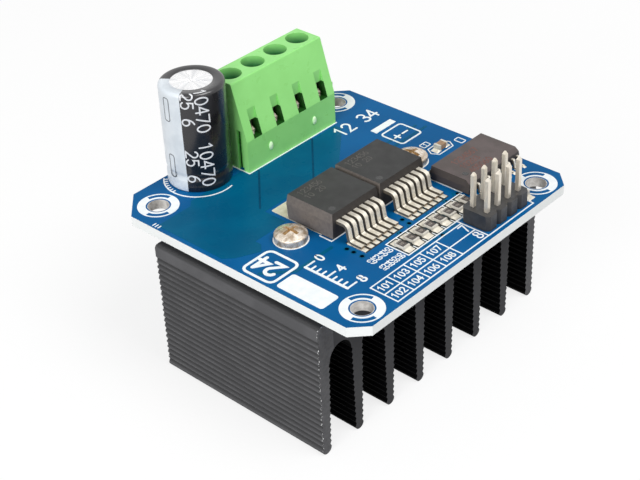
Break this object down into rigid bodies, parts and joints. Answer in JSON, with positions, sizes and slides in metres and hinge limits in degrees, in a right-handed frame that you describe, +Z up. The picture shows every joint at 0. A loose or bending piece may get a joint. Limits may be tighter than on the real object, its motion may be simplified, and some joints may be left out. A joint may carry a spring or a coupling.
{
  "type": "dc motor driver module",
  "caption": "Square circuit board on a finned heat sink, with power chips, a rising-cage screw terminal block, a radial capacitor and a pin header, that drives a motor.",
  "frame": {"origin": "on the floor under the middle of the module's bounding box, with the fin tips at z = 0", "axes": "+X along the board's header edge, +Y towards the screw terminal block, +Z up out of the board's component side"},
  "size_m": [0.0516, 0.051, 0.0425],
  "materials": {
    "solder_mask": "gloss solder mask",
    "anodised_extrusion": "matte black anodised",
    "thermal_rubber": "matte filled silicone",
    "plated_screw": "bright nickel plate",
    "terminal_plastic": "moulded green polyamide, satin",
    "plated_brass": "nickel plated brass",
    "tinned_copper": "dull tin plate",
    "mould_compound": "dark epoxy moulding, fine grain",
    "can_aluminium": "bright drawn can",
    "shrink_sleeve": "glossy shrink film",
    "bung_rubber": "matte rubber",
    "header_plastic": "moulded black polyester",
    "pin_metal": "bright plated pin",
    "chip_ceramic": "glazed black face on white ceramic",
    "chip_tan": "brown ceramic, tinned ends",
    "solder": "bright solder"
  },
  "bodies": {
    "module": {"circuit_board": "solder_mask", "heat_sink": "anodised_extrusion", "thermal_pad": "thermal_rubber", "heat_sink_screw_left": "plated_screw", "terminal_housing_left": "terminal_plastic", "left_driver_body": "mould_compound", "left_driver_tab": "tinned_copper", "left_driver_leads": "tinned_copper", "heat_sink_screw_right": "plated_screw", "terminal_housing_right": "terminal_plastic", "right_driver_body": "mould_compound", "right_driver_tab": "tinned_copper", "right_driver_leads": "tinned_copper", "terminal_contact_1": "tinned_copper", "terminal_contact_2": "tinned_copper", "terminal_contact_3": "tinned_copper", "terminal_contact_4": "tinned_copper", "capacitor_can": "can_aluminium", "capacitor_sleeve": "shrink_sleeve", "capacitor_bung": "bung_rubber", "capacitor_lead_negative": "tinned_copper", "capacitor_lead_positive": "tinned_copper", "logic_chip_body": "mould_compound", "logic_chip_leads": "tinned_copper", "header_base": "header_plastic", "header_pin_1": "pin_metal", "resistor_1": "chip_ceramic", "header_pin_2": "pin_metal", "resistor_2": "chip_ceramic", "header_pin_3": "pin_metal", "resistor_3": "chip_ceramic", "header_pin_4": "pin_metal", "resistor_4": "chip_ceramic", "header_pin_5": "pin_metal", "resistor_5": "chip_ceramic", "header_pin_6": "pin_metal", "resistor_6": "chip_ceramic", "header_pin_7": "pin_metal", "resistor_7": "chip_ceramic", "header_pin_8": "pin_metal", "resistor_8": "chip_ceramic", "ceramic_capacitor_1": "chip_tan", "ceramic_capacitor_2": "chip_tan", "solder_joints": "solder"},
    "clamp_screw_1": {"terminal_screw_1": "plated_screw"},
    "clamp_cage_1": {"terminal_cage_1": "plated_brass"},
    "clamp_screw_2": {"terminal_screw_2": "plated_screw"},
    "clamp_cage_2": {"terminal_cage_2": "plated_brass"},
    "clamp_screw_3": {"terminal_screw_3": "plated_screw"},
    "clamp_cage_3": {"terminal_cage_3": "plated_brass"},
    "clamp_screw_4": {"terminal_screw_4": "plated_screw"},
    "clamp_cage_4": {"terminal_cage_4": "plated_brass"}
  },
  "joints": [
    {"name": "clamp_screw_1_turn", "type": "hinge", "parent": "module", "child": "clamp_screw_1", "pos_m": [-0.00247, 0.02012, 0.038], "axis": [0, 0, 1], "range_deg": [-1801, 0]},
    {"name": "clamp_cage_1_lift", "type": "slide", "parent": "module", "child": "clamp_cage_1", "axis": [0, 0, 1], "range_m": [0, 0.00225]},
    {"name": "clamp_screw_2_turn", "type": "hinge", "parent": "module", "child": "clamp_screw_2", "pos_m": [0.00261, 0.02012, 0.038], "axis": [0, 0, 1], "range_deg": [-1801, 0]},
    {"name": "clamp_cage_2_lift", "type": "slide", "parent": "module", "child": "clamp_cage_2", "axis": [0, 0, 1], "range_m": [0, 0.00225]},
    {"name": "clamp_screw_3_turn", "type": "hinge", "parent": "module", "child": "clamp_screw_3", "pos_m": [0.00769, 0.02012, 0.038], "axis": [0, 0, 1], "range_deg": [-1801, 0]},
    {"name": "clamp_cage_3_lift", "type": "slide", "parent": "module", "child": "clamp_cage_3", "axis": [0, 0, 1], "range_m": [0, 0.00225]},
    {"name": "clamp_screw_4_turn", "type": "hinge", "parent": "module", "child": "clamp_screw_4", "pos_m": [0.01277, 0.02012, 0.038], "axis": [0, 0, 1], "range_deg": [-1801, 0]},
    {"name": "clamp_cage_4_lift", "type": "slide", "parent": "module", "child": "clamp_cage_4", "axis": [0, 0, 1], "range_m": [0, 0.00225]}
  ],
  "couplings": [
    {"joint": "clamp_screw_1_turn", "follows": "clamp_cage_1_lift", "rad_per_m": -13963},
    {"joint": "clamp_screw_2_turn", "follows": "clamp_cage_2_lift", "rad_per_m": -13963},
    {"joint": "clamp_screw_3_turn", "follows": "clamp_cage_3_lift", "rad_per_m": -13963},
    {"joint": "clamp_screw_4_turn", "follows": "clamp_cage_4_lift", "rad_per_m": -13963}
  ]
}
